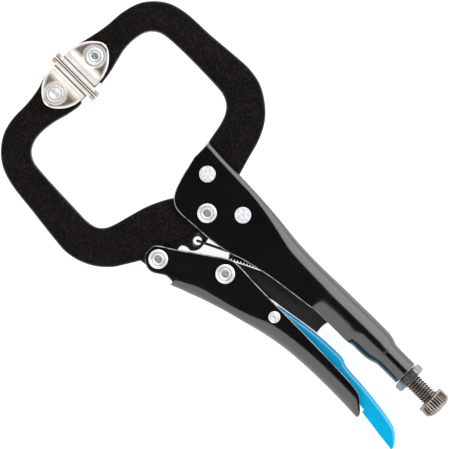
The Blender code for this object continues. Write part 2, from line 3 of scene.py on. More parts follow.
import bmesh
import bpy
import numpy as np
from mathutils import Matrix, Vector


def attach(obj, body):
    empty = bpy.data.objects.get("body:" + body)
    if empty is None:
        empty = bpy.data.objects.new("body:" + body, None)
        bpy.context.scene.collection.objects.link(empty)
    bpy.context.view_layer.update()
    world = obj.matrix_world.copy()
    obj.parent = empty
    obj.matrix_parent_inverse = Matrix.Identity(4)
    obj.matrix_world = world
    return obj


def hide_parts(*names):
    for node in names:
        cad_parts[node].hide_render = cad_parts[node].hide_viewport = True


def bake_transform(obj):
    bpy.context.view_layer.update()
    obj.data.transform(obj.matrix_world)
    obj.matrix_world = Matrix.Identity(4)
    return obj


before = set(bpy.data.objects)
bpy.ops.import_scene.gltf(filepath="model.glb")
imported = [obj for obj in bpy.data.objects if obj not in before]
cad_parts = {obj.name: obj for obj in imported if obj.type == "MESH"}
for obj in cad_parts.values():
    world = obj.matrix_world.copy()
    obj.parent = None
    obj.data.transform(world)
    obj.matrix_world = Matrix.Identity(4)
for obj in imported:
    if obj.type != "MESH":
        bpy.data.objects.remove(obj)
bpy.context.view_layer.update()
unit = 0.001  # everything below is worked out in millimetres
middle = 6.2  # height of the tool's middle plane above the floor
print("frame loaded:", len(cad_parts), "nodes")


# curves and outlines


def curveThrough(points, steps=8):
    # centripetal Catmull-Rom: each stretch between two points is a blend of straight mixes of its four
    # nearest points, with the knots spaced by the square root of the distance; works in any dimension
    p = np.array(points, float)
    p = np.vstack([2 * p[0] - p[1], p, 2 * p[-1] - p[-2]])
    a, b, c, d = (p[k : len(p) - 3 + k, None, :] for k in range(4))
    t1 = np.sqrt(np.linalg.norm(b - a, axis=2, keepdims=True))
    t2 = t1 + np.sqrt(np.linalg.norm(c - b, axis=2, keepdims=True))
    t3 = t2 + np.sqrt(np.linalg.norm(d - c, axis=2, keepdims=True))
    t = t1 + (t2 - t1) * (np.arange(steps) / steps)[None, :, None]
    ab = a + (b - a) * t / t1
    bc = b + (c - b) * (t - t1) / (t2 - t1)
    cd = c + (d - c) * (t - t2) / (t3 - t2)
    first = ab + (bc - ab) * t / t2
    second = bc + (cd - bc) * (t - t1) / (t3 - t1)
    curve = first + (second - first) * (t - t1) / (t2 - t1)
    return np.vstack([curve.reshape(-1, p.shape[1]), p[-2]])


def arcPoints(centre, radius, start, end, count=24):
    # points on a circle between two angles in degrees
    turn = np.radians(np.linspace(start, end, count + 1))
    return np.stack([centre[0] + radius * np.cos(turn), centre[1] + radius * np.sin(turn)], 1)


def closedOutline(*runs):
    # the runs one after another, without points that repeat their neighbour
    p = np.vstack(runs)
    return p[np.linalg.norm(p - np.roll(p, 1, 0), axis=1) > 0.06]


def smooth(low, high, value):
    # 0 below low, 1 above high, and an S-shaped rise between them
    t = np.clip((value - low) / (high - low), 0, 1)
    return t * t * (3 - 2 * t)


# grids and pieces


def gridFaces(rows, columns):
    # four corners for each cell of a grid whose points are stored row by row and whose rows are closed loops
    r, c = np.meshgrid(np.arange(rows - 1), np.arange(columns), indexing="ij")
    r, c = r.ravel(), c.ravel()
    d = (c + 1) % columns
    here, ahead = r * columns, (r + 1) * columns
    return np.stack([here + c, here + d, ahead + d, ahead + c], 1)


def makePiece(name, parts, materials, body, node, sharp=35, flat=()):
    # parts is a list of (points, faces, shade): an array of points in millimetres about the middle plane,
    # rows of corner numbers, and a number from 0 to 1 per point that the material reads; flat names the
    # parts whose faces are shaded flat
    mesh = bpy.data.meshes.new(name)
    points, faces, shade, flatFaces, count = [], [], [], [], 0
    for number, (where, corners, tone) in enumerate(parts):
        where = np.array(where, float).reshape(-1, 3)
        points.append(where)
        shade.append(np.broadcast_to(np.array(tone, float).ravel(), len(where)))
        rows = [(np.array(row) + count).tolist() for row in corners]
        faces += rows
        flatFaces += [number in flat] * len(rows)
        count += len(where)
    points = (np.vstack(points) + (0, 0, middle)) * unit
    mesh.from_pydata(points.tolist(), [], faces)
    mesh.shade_smooth()
    mesh.polygons.foreach_set("use_smooth", [not k for k in flatFaces])
    mesh.attributes.new("shade", "FLOAT", "POINT").data.foreach_set("value", np.concatenate(shade))
    work = bmesh.new()
    work.from_mesh(mesh)
    bmesh.ops.remove_doubles(work, verts=work.verts, dist=0.000002)
    bmesh.ops.dissolve_degenerate(work, edges=work.edges, dist=0.000001)
    bmesh.ops.recalc_face_normals(work, faces=work.faces)
    work.to_mesh(mesh)
    work.free()
    mesh.set_sharp_from_angle(angle=math.radians(sharp))
    for material in materials:
        mesh.materials.append(material)
    piece = bpy.data.objects.new(name, mesh)
    bpy.context.scene.collection.objects.link(piece)
    if node:
        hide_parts(node)
    if body:
        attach(piece, body)
    return piece


def inwardNormals(outline):
    # mitred: the sum of the two neighbouring edges' normals over one plus their cosine
    area = np.sum(outline[:, 0] * np.roll(outline[:, 1], -1) - np.roll(outline[:, 0], -1) * outline[:, 1])
    along = np.roll(outline, -1, 0) - outline
    along /= np.linalg.norm(along, axis=1)[:, None]
    after = np.stack([-along[:, 1], along[:, 0]], 1) * np.sign(area)
    before = np.roll(after, 1, 0)
    return (before + after) / np.maximum(1 + np.sum(before * after, 1), 0.45)[:, None]


def plateParts(outline, low, high, rim, steps=6):
    # the outline carried through the thickness along a profile with a quarter circle at each face, and a
    # flat cap on each side
    turn = np.linspace(0, np.pi / 2, steps + 1)
    inset = rim * (1 - np.sin(turn))
    height = high - rim + rim * np.cos(turn)
    inset = np.concatenate([inset, inset[::-1]])
    height = np.concatenate([height, low + high - height[::-1]])
    flatPlace = outline[None] + inwardNormals(outline)[None] * inset[:, None, None]
    rows, columns = flatPlace.shape[:2]
    points = np.concatenate([flatPlace, np.broadcast_to(height[:, None, None], (rows, columns, 1))], 2)
    side = (points, gridFaces(rows, columns), 1.0)
    top = (points[0], [np.arange(columns)], 0.0)
    bottom = (points[-1], [np.arange(columns)[::-1]], 0.0)
    return [side, top, bottom]


def turnedParts(profile, centre, around=64, radiusChange=None, axis="z"):
    # (radius, place, shade) rows turned about an axis; radiusChange(angle, place) is taken off the radius
    r, place, tone = np.array(profile, float).T[:, :, None]
    angle = np.linspace(0, 2 * np.pi, around, endpoint=False)[None]
    reach = r - (radiusChange(angle, place) if radiusChange else 0) + 0 * angle
    across, up, along = reach * np.cos(angle), reach * np.sin(angle), place + 0 * angle
    if axis == "z":
        points = np.stack([centre[0] + across, centre[1] + up, along], 2)
    else:
        points = np.stack([along, centre + across, up], 2)
    return [(points, gridFaces(len(profile), around), tone + 0 * angle)]


def addBevel(piece, width, material=-1, segments=2, limit=50, clamp=True):
    step = piece.modifiers.new("edges", "BEVEL")
    step.width = width * unit
    step.segments = segments
    step.limit_method = "ANGLE"
    step.angle_limit = math.radians(limit)
    step.material = material
    step.use_clamp_overlap = clamp
    return step


def cutHole(piece, name, centre, radius, low, high, around=40):
    # takes a turned plug away from a piece
    profile = [(0, high, 0), (radius, high, 0), (radius, low, 0), (0, low, 0)]
    plug = makePiece(name, turnedParts(profile, centre, around), piece.data.materials, None, None)
    step = piece.modifiers.new(name, "BOOLEAN")
    step.object = plug
    step.solver = "EXACT"
    bpy.context.view_layer.update()
    mesh = bpy.data.meshes.new_from_object(piece.evaluated_get(bpy.context.evaluated_depsgraph_get()))
    piece.modifiers.clear()
    piece.data = mesh
    bpy.data.objects.remove(plug)


# shader maths


class Wire:
    # one output of a shader node; arithmetic on it adds a Math node
    def __init__(self, tree, socket):
        self.tree = tree
        self.socket = socket

    def node(self, kind, settings=None, links=None, output=0):
        # any node: its settings first, then its inputs by name or number, as values or wires
        made = self.tree.nodes.new(kind)
        for key, value in (settings or {}).items():
            setattr(made, key, value)
        for key, value in (links or {}).items():
            if isinstance(value, Wire):
                self.tree.links.new(value.socket, made.inputs[key])
            else:
                made.inputs[key].default_value = value
        return Wire(self.tree, made.outputs[output])

    def maths(self, operation, *others):
        return self.node("ShaderNodeMath", {"operation": operation}, dict(enumerate([self, *others])))

    def __add__(self, other):
        return self.maths("ADD", other)

    def __sub__(self, other):
        return self.maths("SUBTRACT", other)

    def __mul__(self, other):
        return self.maths("MULTIPLY", other)

    def __radd__(self, other):
        return self.maths("ADD", other)

    def __rmul__(self, other):
        return self.maths("MULTIPLY", other)

    def __rsub__(self, other):
        return self.maths("MULTIPLY", -1.0).maths("ADD", other)

    def rise(self, low, high):
        # 0 at low, 1 at high, clamped, with an S-shaped rise
        settings = {"interpolation_type": "SMOOTHSTEP"}
        return self.node("ShaderNodeMapRange", settings, {"Value": self, "From Min": low, "From Max": high})

    def mix(self, first, second):
        # a colour between two colours, by this share
        settings = {"data_type": "RGBA"}
        links = {0: self, 6: first, 7: second}
        return self.node("ShaderNodeMix", settings, links, 2)

    def noise(self, scale, detail=3.0, roughness=0.55, stretch=None):
        # noise over this vector, with scale in cells per metre
        place = self
        if stretch:
            place = self.node("ShaderNodeVectorMath", {"operation": "MULTIPLY"}, {0: self, 1: stretch})
        links = {"Vector": place, "Scale": scale, "Detail": detail, "Roughness": roughness}
        return self.node("ShaderNodeTexNoise", None, links)


def startMaterial(name, **constants):
    # an empty Principled material: its place wire, and a function that links its varying inputs
    made = bpy.data.materials.new(name)
    made.use_nodes = True
    tree = made.node_tree
    shader = tree.nodes["Principled BSDF"]
    for key, value in constants.items():
        shader.inputs[key.replace("_", " ")].default_value = value
    place = Wire(tree, tree.nodes.new("ShaderNodeTexCoord").outputs["Object"])

    def connect(**inputs):
        for key, wire in inputs.items():
            tree.links.new(wire.socket, shader.inputs[key.replace("_", " ")])

    return made, place, connect


def bump(height, strength, distance):
    links = {"Strength": strength, "Distance": distance * unit, "Height": height}
    return height.node("ShaderNodeBump", None, links)


def shadeOf(place):
    return place.node("ShaderNodeAttribute", {"attribute_name": "shade"}, None, 2)


def forgedBlack():
    made, place, connect = startMaterial("forged black", Specular_IOR_Level=0.09, Coat_Roughness=0.3)
    # the rounded rim is told by its height above or below the middle plane, squared and in square millimetres
    height = place.node("ShaderNodeSeparateXYZ", None, {0: place}, 2) - middle * unit
    rim = (height * height * 1000000.0).rise(8.95, 8.0)
    grain = place.noise(2600.0, 4.0, 0.65)
    patch = place.noise(180.0, 3.0)
    speck = place.noise(1900.0, 3.0, 0.65).rise(0.46, 0.66)
    base = patch.rise(0.35, 0.7).mix((0.0014, 0.0012, 0.0010, 1), (0.0030, 0.0025, 0.0021, 1))
    face = (speck * (patch * 0.8 + 0.25)).mix(base, (0.022, 0.018, 0.0145, 1))
    # the rim's colour is lighter than the faces': a painted highlight along the rounded edges, beside its
    # real coat and lower roughness
    connect(
        Base_Color=(rim * 0.8).mix(face, (0.016, 0.015, 0.014, 1)),
        Roughness=grain.rise(0.3, 0.7) * 0.15 + 0.45 - rim * 0.17,
        Coat_Weight=rim * 0.9,
        Normal=bump(grain + place.noise(900.0, 3.0) * 1.2, 0.3, 0.1),
    )
    return made


def pressedBlack():
    made, place, connect = startMaterial("pressed black", Metallic=0.0, IOR=1.85)
    fine = place.noise(1300.0, 3.0)
    wide = place.noise(70.0, 2.0)
    connect(
        Base_Color=wide.rise(0.3, 0.7).mix((0.0012, 0.0012, 0.0018, 1), (0.0022, 0.0022, 0.0030, 1)),
        Roughness=fine.rise(0.3, 0.7) * 0.05 + wide * 0.05 + 0.12,
        Normal=bump(fine + wide * 3.0, 0.03, 0.03),
    )
    return made


def sheetEdgeHighlight():
    made, place, connect = startMaterial("sheet edge", Metallic=0.1)
    # the bevelled sheet edges are painted light grey in patches: a painted highlight where the rounded edges
    # catch the light
    edgeHighlightMottle = place.noise(420.0, 3.0).rise(0.3, 0.6)
    connect(
        Base_Color=edgeHighlightMottle.mix((0.10, 0.095, 0.09, 1), (0.40, 0.38, 0.36, 1)),
        Roughness=edgeHighlightMottle * -0.1 + 0.5,
    )
    return made


def leverBlue():
    made, place, connect = startMaterial("lever blue", Metallic=0.0, IOR=1.5, Coat_Roughness=0.1)
    wave = place.noise(60.0, 2.0)
    along = place.node("ShaderNodeSeparateXYZ", None, {0: place})
    front = along.rise(0.050, 0.090)
    base = front.mix((0.0, 0.27, 0.50, 1), (0.0, 0.385, 0.68, 1))
    connect(
        Base_Color=(wave.rise(0.3, 0.7) * 0.4).mix(base, (0.0, 0.33, 0.60, 1)),
        Roughness=place.noise(900.0) * 0.06 + 0.2,
        Coat_Weight=wave * 0.2 + 0.3,
        Normal=bump(place.noise(500.0), 0.05, 0.03),
    )
    return made


def zincHead():
    made, place, connect = startMaterial("zinc head", Metallic=0.6)
    tone = shadeOf(place)
    mottle = place.noise(1900.0, 3.0)
    # the shade attribute paints the head: the bluish grey is painted shade in the groove and the recessed
    # middle, the near white is a painted highlight on the ring and rim
    paintedShadeColour = mottle.rise(0.35, 0.65).mix((0.14, 0.18, 0.23, 1), (0.40, 0.46, 0.52, 1))
    paintedHighlightColour = mottle.rise(0.3, 0.7).mix((0.86, 0.86, 0.85, 1), (1.0, 1.0, 0.99, 1))
    connect(
        Base_Color=tone.mix(paintedShadeColour, paintedHighlightColour),
        Roughness=mottle * 0.18 + 0.3,
        Normal=bump(mottle, 0.3, 0.06),
    )
    return made


def flatHead():
    made, place, connect = startMaterial("flat rivet head", Metallic=0.15)
    blotch = place.noise(1100.0, 4.0, 0.6)
    connect(
        Base_Color=blotch.rise(0.35, 0.65).mix((0.56, 0.58, 0.61, 1), (0.84, 0.86, 0.88, 1)),
        Roughness=blotch * 0.2 + 0.45,
        Normal=bump(blotch, 0.35, 0.06),
    )
    return made


def padMetal():
    # nickel, painted brown as shade in its dish and creases by the shade attribute, bare brass at the pads'
    # far end, tarnish at their near end and a dark line painted as shade where the two pads meet
    made, place, connect = startMaterial("pad nickel", Metallic=0.35)
    tone = shadeOf(place)
    streak = place.noise(600.0, 4.0, 0.6, (1.0, 1.0, 0.15))
    cloud = place.noise(260.0, 3.0)
    nickel = cloud.rise(0.3, 0.7).mix((0.80, 0.77, 0.71, 1), (0.95, 0.93, 0.89, 1))
    brown = streak.rise(0.3, 0.7).mix((0.05, 0.038, 0.03, 1), (0.26, 0.22, 0.18, 1))
    along = place.node("ShaderNodeSeparateXYZ", None, {0: place})
    brass = along.rise(-0.0720, -0.0728)
    tarnish = along.rise(-0.0566, -0.0558)
    across = place.node("ShaderNodeSeparateXYZ", None, {0: place}, 1)
    # between: a band across the two pads' meeting faces, painted near black as the shade in the gap between
    # them
    between = across.rise(0.0004, 0.0007) * across.rise(0.0019, 0.0016)
    base = (tone * (streak * 0.5 + 0.7)).mix(nickel, brown)
    base = (brass * 0.9).mix(base, (0.34, 0.20, 0.075, 1))
    connect(
        Base_Color=between.mix((tarnish * 0.8).mix(base, (0.30, 0.30, 0.24, 1)), (0.015, 0.012, 0.01, 1)),
        Roughness=streak * 0.16 + 0.3,
        Normal=bump(streak + cloud, 0.15, 0.06),
    )
    return made


def screwSteel():
    made, place, connect = startMaterial("screw steel", Metallic=1.0, Specular_Tint=(0.3, 0.28, 0.26, 1))
    tone = shadeOf(place)
    oil = place.noise(500.0, 3.0)
    # groove: near black, painted shade in the thread and knurl grooves; crest: the steel's own colour
    groove = oil.rise(0.3, 0.7).mix((0.004, 0.003, 0.003, 1), (0.015, 0.012, 0.010, 1))
    crest = oil.rise(0.3, 0.7).mix((0.36, 0.32, 0.285, 1), (0.60, 0.55, 0.51, 1))
    connect(
        Base_Color=tone.mix(groove, crest),
        Roughness=place.noise(2100.0) * 0.2 + 0.26,
        Normal=bump(place.noise(1800.0), 0.2, 0.05),
    )
    return made


def nutSteel():
    made, place, connect = startMaterial("nut steel", Metallic=1.0)
    fine = place.noise(900.0, 4.0)
    connect(
        Base_Color=fine.rise(0.35, 0.65).mix((0.20, 0.205, 0.215, 1), (0.36, 0.36, 0.36, 1)),
        Roughness=fine * 0.2 + 0.22,
        Normal=bump(fine, 0.25, 0.06),
    )
    return made


def springSteel():
    made, place, connect = startMaterial("spring steel", Metallic=1.0)
    oil = place.noise(700.0)
    connect(
        Base_Color=oil.rise(0.3, 0.7).mix((0.03, 0.025, 0.02, 1), (0.10, 0.085, 0.07, 1)),
        Roughness=oil * 0.2 + 0.3,
    )
    return made


def floorPaper():
    made, place, connect = startMaterial("floor paper", Roughness=0.9, Emission_Strength=0.9)
    faint = place.noise(14.0, 2.0)
    connect(
        Base_Color=faint.mix((0.50, 0.50, 0.50, 1), (0.54, 0.54, 0.54, 1)),
        Emission_Color=faint.mix((0.98, 0.98, 0.98, 1), (1.0, 1.0, 1.0, 1)),
    )
    return made


black = forgedBlack()
pressed = pressedBlack()
edge = sheetEdgeHighlight()
blue = leverBlue()
zinc = zincHead()
whiteHead = flatHead()
nickel = padMetal()
steel = screwSteel()
nutMetal = nutSteel()
wireMetal = springSteel()
print("materials made")


# the two jaws and the link: thick plates with rounded edges

jaws = {"half": 3.0, "rim": 0.75}

fixedJawRuns = {
    "outer": [
        (-72.2, 5.6), (-71.5, 10), (-70.3, 15), (-69.2, 21), (-68.6, 28), (-66.3, 35), (-60.5, 40.8),
        (-54, 43), (-42, 43.7), (-30, 44.7), (-24.5, 44.9), (-18.5, 43.8), (-13, 40.7), (-8.5, 36.4),
        (-5.3, 30.5), (-3, 22.5), (-1.4, 17), (-0.8, 14.6),
    ],
    "tail": [(-0.8, 14.5), (10.5, 14.1), (13.2, 12.2), (13.7, 8.4), (12.3, 4.9), (9, 3.6), (5.3, 3.06)],
    "front": [(-5.3, 3.06), (-9, 4.6), (-13.2, 5.4), (-15.5, 9), (-16.4, 13), (-16.7, 17)],
    "inner": [
        (-16.7, 17), (-17.3, 20), (-18.3, 25), (-19.7, 28.5), (-21.7, 30.8), (-24.5, 32.2), (-28, 32.7),
        (-52, 32.6), (-55.5, 31.5), (-58, 29), (-59.2, 25), (-59.3, 20), (-58.2, 15), (-57, 10), (-56.4, 5.6),
    ],
}


def makeFixedJaw():
    runs = {name: curveThrough(points) for name, points in fixedJawRuns.items()}
    hollow = arcPoints((0, 0), 6.1, 30, 150)
    outline = closedOutline(runs["outer"], runs["tail"], hollow, runs["front"], runs["inner"])
    parts = plateParts(outline, -jaws["half"], jaws["half"], jaws["rim"])
    makePiece("fixed_jaw_plate", parts, [black], "frame", "fixed_jaw", flat=(1, 2))


lowerJawRuns = {
    "outer": [
        (-72.3, -3.4), (-71.8, -6.5), (-70.4, -11), (-69.6, -17), (-69.4, -24), (-68, -29.5), (-64.6, -34.5),
        (-60, -38), (-54, -40), (-42, -41.5), (-30, -42.9), (-25, -43.25), (-19.5, -42.2), (-14.5, -39.8),
        (-10, -35.9), (-7.2, -31.7), (-4.6, -27.4),
    ],
    "tail": [
        (3.2, -19.5), (1.9, -16.5), (1.6, -14), (3.3, -13), (5, -12.9), (6.6, -11), (6.7, -8), (5.5, 0),
    ],
    "neck": [
        (-5.2, 2.3), (-8.5, -0.6), (-11.8, -4.4), (-14.9, -10), (-16.5, -14), (-18.2, -20), (-19.7, -25.3),
        (-21, -28), (-23.3, -29.9), (-27, -30.7), (-32, -30.6), (-50, -29.8), (-54, -29.2), (-57, -27.3),
        (-58.7, -24.3), (-59.2, -20), (-58.5, -14.5), (-57.2, -9.8), (-56.4, -5), (-56.6, -3.4),
    ],
}
springHole = (4.3, -8.9)
hookSeat = {"hole": 1.5, "recess": 4.4, "offset": (2.2, 1.1), "web": 1.25, "past": 8}


def makeLowerJaw():
    runs = {name: curveThrough(points) for name, points in lowerJawRuns.items()}
    knuckle = arcPoints((-0.7, -22.7), 4.3, 260, 375)
    boss = arcPoints((0, 0), 5.5, 0, 150)
    outline = closedOutline(runs["outer"], knuckle, runs["tail"], boss, runs["neck"])
    parts = plateParts(outline, -jaws["half"], jaws["half"], jaws["rim"])
    piece = makePiece("lower_jaw_plate", parts, [black], None, None, flat=(1, 2))
    s = hookSeat
    recess = (springHole[0] + s["offset"][0], springHole[1] + s["offset"][1])
    cutHole(piece, "hook hole", springHole, s["hole"], -s["past"], s["past"])
    cutHole(piece, "recess above", recess, s["recess"], s["web"], s["past"])
    cutHole(piece, "recess below", recess, s["recess"], -s["past"], -s["web"])
    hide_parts("lower_jaw")
    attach(piece, "lower_jaw")


linkRuns = {
    "under": [
        (20.6, -14.4), (25, -12), (29, -8.6), (32, -6.5), (36, -5.25), (41, -4.5), (45, -3.85), (50, -3.05),
        (55, -2.35),
    ],
    "heel": [(55, -2.35), (54.8, 0.2), (55.2, 2.6), (57.3, 4.6), (59.2, 6.6)],
    "top": [(55.2, 11.3), (50, 9.6), (42, 6.3), (34, 2.6), (26, -1.35), (20, -4.3), (17.4, -6)],
}


def makeLink():
    runs = {name: curveThrough(points) for name, points in linkRuns.items()}
    eye = arcPoints((18.9, -10.2), 4.5, 110, 290)
    end = arcPoints((56.8, 8.7), 3.0, -20, 110)
    outline = closedOutline(eye, runs["under"], runs["heel"], end, runs["top"])
    half, rim = 2.4, 0.4
    parts = plateParts(outline, -half, half, rim)
    makePiece("link_plate", parts, [black], "toggle_link", "toggle_link", flat=(1, 2))


makeFixedJaw()
makeLowerJaw()
makeLink()
print("jaws and link made")


# pressed sheet: folded sections carried along the tool


def loftedLoop(points):
    # a closed loop at each row, joined to the next, with both ends capped by strips between its two sides
    rows, columns = points.shape[:2]
    near = np.arange(columns // 2 - 1)
    cap = np.stack([near, near + 1, columns - 2 - near, columns - 1 - near], 1)
    faces = list(gridFaces(rows, columns)) + list(cap) + list(cap[:, ::-1] + (rows - 1) * columns)
    return points, faces, 0.0


def channelParts(stations, thickness, openUntil=None, steps=6, bends=10, walls=8):
    # stations are (x, spine, edge, half width, bend, curl, seam), with the last two left out for a plain
    # channel. Half a section is half a flat spine, a quarter circle of the bend's radius and a wall to the
    # edge; curl mixes the straight wall with an arc of the half width that closes to the seam. The inside is
    # the same section with every size less the thickness, and each section is a loop round both
    full = [(*row, 0.0, 0.2)[:7] for row in stations]
    s = curveThrough(full, steps)
    x, spine, rim, half, bend, curl, seam = s.T[:, :, None]
    way = np.where(rim > spine, 1.0, -1.0)
    depth = np.abs(rim - spine)
    bend = np.minimum(np.minimum(bend, half - 0.25), depth - 0.2)
    curl = np.clip(curl, 0, 1)
    sheet = thickness(x)
    turn = np.linspace(0, np.pi / 2, bends + 1)[None]
    share = np.linspace(0, 1, walls + 1)[None, 1:]
    last = np.arccos(np.clip(seam / half, 0, 1)) * share

    def section(half, spine, bend):
        start = spine + way * bend
        wallZ = half * (1 - curl) + half * np.cos(last) * curl
        wallY = (start + (rim - start) * share) * (1 - curl) + (start + way * half * np.sin(last)) * curl
        z = np.hstack([0 * x, half - bend + bend * np.sin(turn), wallZ])
        y = np.hstack([spine, spine + way * bend * (1 - np.cos(turn)), wallY])
        return np.stack([np.broadcast_to(x, z.shape), y, z], 2)

    outer = section(half, spine, bend)
    innerSpine = spine + way * np.minimum(sheet, depth - 0.15)
    inner = section(half - sheet, innerSpine, np.maximum(bend - sheet, 0.05))
    mirror = np.array([1, 1, -1.0])
    loop = np.concatenate([outer[:, :0:-1] * mirror, outer, inner[:, ::-1], inner[:, 1:] * mirror], 1)
    points, faces, tone = loftedLoop(loop)
    if openUntil is None:
        return [(points, faces, tone)]
    # up to openUntil the flat of the spine is left out, and its two sides and its end are closed; n is the
    # number of points in half an outside, so the spine's flat lies round n - 1 and, inside, round 3 * n - 2
    n = outer.shape[1]
    columns = loop.shape[1]
    front = int(np.argmin(np.abs(s[:, 0] - openUntil)))
    web = np.isin(np.array(faces) % columns, (n - 1, 3 * n - 2)).any(1)
    faces = np.array(faces)[~(web & (faces < np.array((front + 1) * columns)).all(1))]
    row = np.arange(front)[:, None] * columns
    ahead = row + columns
    rightSide = np.hstack([row + n, ahead + n, ahead + 3 * n - 3, row + 3 * n - 3])
    leftSide = np.hstack([row + n - 2, ahead + n - 2, ahead + 3 * n - 1, row + 3 * n - 1])
    end = front * columns + np.array([n - 2, n - 1, n, 3 * n - 3, 3 * n - 2, 3 * n - 1])
    return [(points, list(faces) + list(rightSide) + list(leftSide) + [end], tone)]


def makeFixedHandle():
    half, wider, tube, broad = 5.2, 0.95, 15.2, 6.15
    sheet, thinned = 1.9, 0.55  # the sheet's thickness, and how much thinner it is round the collar
    collar = (13.8, 4.3, 4.75, 4.5, 1.0, 0.2)
    stations = [
        (-16.5, 17.7, 10.5, half, 2.1), (-15.2, 17.65, 4.8, half, 2.1), (-14, 17.6, 0.5, half, 2.1),
        (-12.6, 17.5, -2.9, half, 2.1), (-11, 17.4, -4.9, half, 2.1), (-9, 17.3, -6.1, half, 2.1),
        (-6, 17.2, -6.5, half, 2.1), (0, 17.0, -6.1, half, 2.1), (6, 16.8, -5.7, half, 2.1),
        (13.8, 16.4, -4.5, half, 2.8), (20, 15.9, -2.5, half, 3.7),
        (29, 15.0, -0.4, half + 0.1 * wider, 5.0), (38, 14.7, 1.0, half + 0.3 * wider, 5.2),
        (46.5, 14.85, 2.1, half + 0.75 * wider, 5.6), (49, tube - 0.25, 2.4, broad, 5.9, 0.2, 0.2),
        (60, tube - 0.1, 2.5, broad, 5.9, 0.3, 0.2), (64.5, tube, 2.5, broad, 5.9, 0.3, 0.2),
        (67.3, tube, 2.8, broad, 5.9, 1.0, 0.15), (70.2, tube, 2.8, broad, 5.9, 1.0, 0.6),
        (73, tube - 0.1, 2.8, 6.0, 5.75, 1.0, 0.15), (75.3, tube - 0.65, 3.4, 5.45, 5.2, 1.0, 0.15),
        (77.0, collar[0] + 0.15, 4.2, 4.88, 4.63, 1.0, 0.15), (79, *collar), (86.2, *collar),
    ]

    def thickness(x):
        return sheet - thinned * smooth(75.5, 77.3, x)

    parts = channelParts(stations, thickness, 0.2)
    piece = makePiece("fixed_handle_sheet", parts, [pressed, edge], "frame", "fixed_handle")
    # material 1, on the bevel, is the sheet edge's painted highlight
    addBevel(piece, 0.3, 1, clamp=False)


def makeLowerHandle():
    half, sheet = 5.1, 1.5
    stations = [
        (-5.1, -24.6, -20.7, half, 0.5), (-4, -26.0, -19.5, half, 0.5), (-2.4, -27.0, -18.4, half, 0.5),
        (-0.7, -27.5, -17.4, half, 0.5), (1, -27.3, -16.3, half, 0.5), (3, -26.1, -14.9, half, 0.5),
        (5, -24.9, -13.5, half, 0.5), (7, -24.7, -12.1, half, 0.5), (8.2, -24.9, -11.2, half, 0.5),
        (8.6, -25.9, -11.0, half, 2.6), (12, -24.6, -8.6, half, 3.3), (15.5, -23.4, -6.2, half, 3.9),
        (18, -22.4, -5.1, half, 3.8), (22, -21.0, -4.95, half, 3.4), (28, -19.1, -5.25, half, 3.0),
        (35, -17.3, -5.4, half, 3.6),
        (42, -15.5, -5.45, half, 4.8), (50, -14.0, -5.5, half, 4.8), (60, -13.1, -5.7, half, 4.8),
        (70, -12.85, -6.0, half, 4.8), (76, -12.9, -6.35, half, 4.8), (78, -12.95, -6.65, half, 4.8),
        (80, -13.0, -7.3, half, 4.8), (82, -13.05, -8.9, half, 3.6), (84, -13.1, -10.7, half, 2.0),
        (84.9, -13.1, -11.9, half, 1.2),
    ]
    parts = channelParts(stations, lambda x: sheet + 0 * x, 8.6)
    materials = [pressed, edge]
    piece = makePiece("lower_handle_sheet", parts, materials, "lower_handle", "lower_handle")
    # material 1, on the bevel, is the sheet edge's painted highlight
    addBevel(piece, 0.3, 1, clamp=False)


def makeLever():
    half, bend, sheet = 3.2, 1.5, 1.1
    rows = [
        (36.6, -7.2, -9.8), (37.6, -6.1, -10.8), (39.5, -5.1, -11.3), (43, -4.45, -11.2), (50, -3.3, -9.9),
        (57, -2.45, -8.6), (64, -2.15, -7.7), (67.5, -2.25, -7.3), (69.6, -3.15, -7.1), (72, -3.5, -6.9),
        (78, -3.85, -6.9), (80, -4.0, -7.6), (82, -4.2, -8.95), (83.4, -4.35, -9.4), (84.95, -4.5, -9.55),
        (85.2, -4.53, -10.5), (86.4, -4.7, -10.75), (90, -5.2, -11.2), (95, -6.2, -11.9),
        (97.3, -7.2, -12.15), (99.2, -8.9, -12.35), (100.4, -10.3, -12.5), (100.9, -11.2, -12.8),
    ]
    stations = [(x, top, bottom, half, bend) for x, top, bottom in rows]
    parts = channelParts(stations, lambda x: sheet + 0 * x)
    piece = makePiece("release_lever_sheet", parts, [blue], "release_lever", "release_lever")
    addBevel(piece, 0.25, -1, 3)


makeFixedHandle()
makeLowerHandle()
makeLever()
print("handles and lever made")


# swivel pads: a round plate cut straight at the sides, and a dished ear up each side of the jaw

padShape = {
    "centre": -64.4, "radius": 10.0, "half": 6.1, "thick": 1.7, "sheet": 1.4, "dish": 1.3,
    "meet": 1.15, "halfGap": 0.15,
    "ear": [
        (0.0, 7.3), (0.3, 7.3), (0.5, 6.65), (0.65, 5.8), (0.8, 4.3), (0.93, 2.4), (0.985, 1.0), (1.0, 0),
    ],
}


